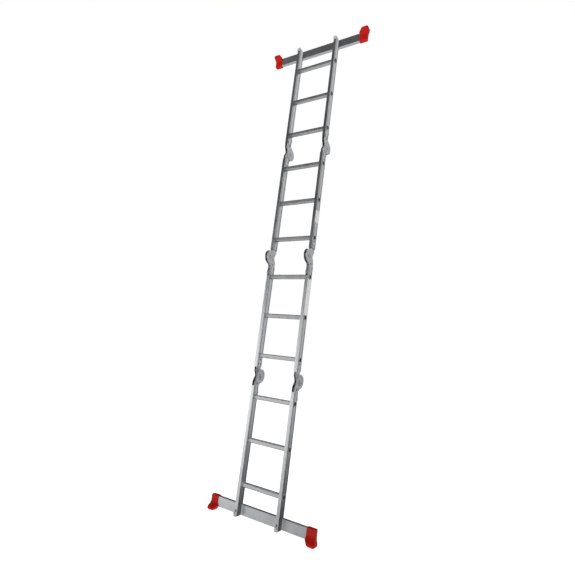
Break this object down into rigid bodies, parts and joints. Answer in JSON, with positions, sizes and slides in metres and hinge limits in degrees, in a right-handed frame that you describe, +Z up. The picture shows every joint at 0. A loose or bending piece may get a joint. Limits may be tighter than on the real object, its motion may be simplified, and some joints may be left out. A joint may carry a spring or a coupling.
{
  "type": "multi position ladder",
  "caption": "Folding aluminium ladder whose hinged sections lock straight, as a trestle or as a platform, with wide stabiliser bars and rubber feet at both ends.",
  "frame": {"origin": "on the ground, under the middle of the fully extended upright ladder", "axes": "+Z runs up the ladder, +X from its left rail to its right rail, -Y is its front"},
  "size_m": [0.818, 0.172, 3.514],
  "materials": {
    "rail_aluminium": "extruded, mill finish",
    "rung_aluminium": "extruded, mill finish, ribbed tread",
    "bar_aluminium": "extruded, mill finish",
    "hinge_steel": "zinc plated pressed steel",
    "lever_metal": "zinc plated pressed steel",
    "pin_steel": "zinc plated",
    "rivet_steel": "zinc plated",
    "bolt_steel": "zinc plated",
    "spring_steel": "spring steel",
    "foot_rubber": "moulded, matt red",
    "plug_plastic": "moulded, grey"
  },
  "bodies": {
    "section_1": {"rail_left_1": "rail_aluminium", "rail_right_1": "rail_aluminium", "rung_01": "rung_aluminium", "rung_02": "rung_aluminium", "rung_03": "rung_aluminium", "rivets_1": "rivet_steel", "stabiliser_bar_bottom": "bar_aluminium", "foot_bottom_left": "foot_rubber", "foot_bottom_right": "foot_rubber", "bar_bolts_bottom": "bolt_steel", "end_plugs_bottom": "plug_plastic", "lower_hinge_lever_arm_left": "hinge_steel", "lower_hinge_lever_arm_right": "hinge_steel", "lower_hinge_pivot_pins": "pin_steel", "lower_hinge_lever_springs": "spring_steel"},
    "section_2": {"rail_left_2": "rail_aluminium", "rail_right_2": "rail_aluminium", "rung_04": "rung_aluminium", "rung_05": "rung_aluminium", "rung_06": "rung_aluminium", "rivets_2": "rivet_steel", "lower_hinge_disc_arm_left": "hinge_steel", "lower_hinge_disc_arm_right": "hinge_steel", "middle_hinge_lever_arm_left": "hinge_steel", "middle_hinge_lever_arm_right": "hinge_steel", "middle_hinge_pivot_pins": "pin_steel", "middle_hinge_lever_springs": "spring_steel"},
    "section_3": {"rail_left_3": "rail_aluminium", "rail_right_3": "rail_aluminium", "rung_07": "rung_aluminium", "rung_08": "rung_aluminium", "rung_09": "rung_aluminium", "rivets_3": "rivet_steel", "middle_hinge_disc_arm_left": "hinge_steel", "middle_hinge_disc_arm_right": "hinge_steel", "upper_hinge_disc_arm_left": "hinge_steel", "upper_hinge_disc_arm_right": "hinge_steel"},
    "section_4": {"rail_left_4": "rail_aluminium", "rail_right_4": "rail_aluminium", "rung_10": "rung_aluminium", "rung_11": "rung_aluminium", "rung_12": "rung_aluminium", "rivets_4": "rivet_steel", "stabiliser_bar_top": "bar_aluminium", "foot_top_left": "foot_rubber", "foot_top_right": "foot_rubber", "bar_bolts_top": "bolt_steel", "end_plugs_top": "plug_plastic", "upper_hinge_lever_arm_left": "hinge_steel", "upper_hinge_lever_arm_right": "hinge_steel", "upper_hinge_pivot_pins": "pin_steel", "upper_hinge_lever_springs": "spring_steel"},
    "lower_hinge_lever_left": {"lower_hinge_lock_lever_left": "lever_metal"},
    "lower_hinge_lever_right": {"lower_hinge_lock_lever_right": "lever_metal"},
    "middle_hinge_lever_left": {"middle_hinge_lock_lever_left": "lever_metal"},
    "middle_hinge_lever_right": {"middle_hinge_lock_lever_right": "lever_metal"},
    "upper_hinge_lever_left": {"upper_hinge_lock_lever_left": "lever_metal"},
    "upper_hinge_lever_right": {"upper_hinge_lock_lever_right": "lever_metal"}
  },
  "joints": [
    {"name": "fold_lower", "type": "hinge", "parent": "section_1", "child": "section_2", "pos_m": [0, 0.039, 0.917], "axis": [-1, 0, 0], "range_deg": [0, 180]},
    {"name": "fold_middle", "type": "hinge", "parent": "section_2", "child": "section_3", "pos_m": [0, -0.039, 1.757], "axis": [1, 0, 0], "range_deg": [0, 180]},
    {"name": "fold_upper", "type": "hinge", "parent": "section_3", "child": "section_4", "pos_m": [0, 0.039, 2.597], "axis": [-1, 0, 0], "range_deg": [0, 180]},
    {"name": "lower_hinge_lock_left", "type": "hinge", "parent": "section_1", "child": "lower_hinge_lever_left", "pos_m": [-0.157, 0.005, 0.867], "axis": [1, 0, 0], "range_deg": [-5, 6.5], "stiffness_Nm_per_rad": 4, "deforming": ["lower_hinge_lever_springs"]},
    {"name": "lower_hinge_lock_right", "type": "hinge", "parent": "section_1", "child": "lower_hinge_lever_right", "pos_m": [0.157, 0.005, 0.867], "axis": [1, 0, 0], "range_deg": [-5, 6.5], "stiffness_Nm_per_rad": 4},
    {"name": "middle_hinge_lock_left", "type": "hinge", "parent": "section_2", "child": "middle_hinge_lever_left", "pos_m": [-0.157, -0.005, 1.707], "axis": [-1, 0, 0], "range_deg": [-5, 6.5], "stiffness_Nm_per_rad": 4, "deforming": ["middle_hinge_lever_springs"]},
    {"name": "middle_hinge_lock_right", "type": "hinge", "parent": "section_2", "child": "middle_hinge_lever_right", "pos_m": [0.157, -0.005, 1.707], "axis": [-1, 0, 0], "range_deg": [-5, 6.5], "stiffness_Nm_per_rad": 4},
    {"name": "upper_hinge_lock_left", "type": "hinge", "parent": "section_4", "child": "upper_hinge_lever_left", "pos_m": [-0.157, 0.005, 2.647], "axis": [-1, 0, 0], "range_deg": [-5, 6.5], "stiffness_Nm_per_rad": 4, "deforming": ["upper_hinge_lever_springs"]},
    {"name": "upper_hinge_lock_right", "type": "hinge", "parent": "section_4", "child": "upper_hinge_lever_right", "pos_m": [0.157, 0.005, 2.647], "axis": [-1, 0, 0], "range_deg": [-5, 6.5], "stiffness_Nm_per_rad": 4}
  ]
}
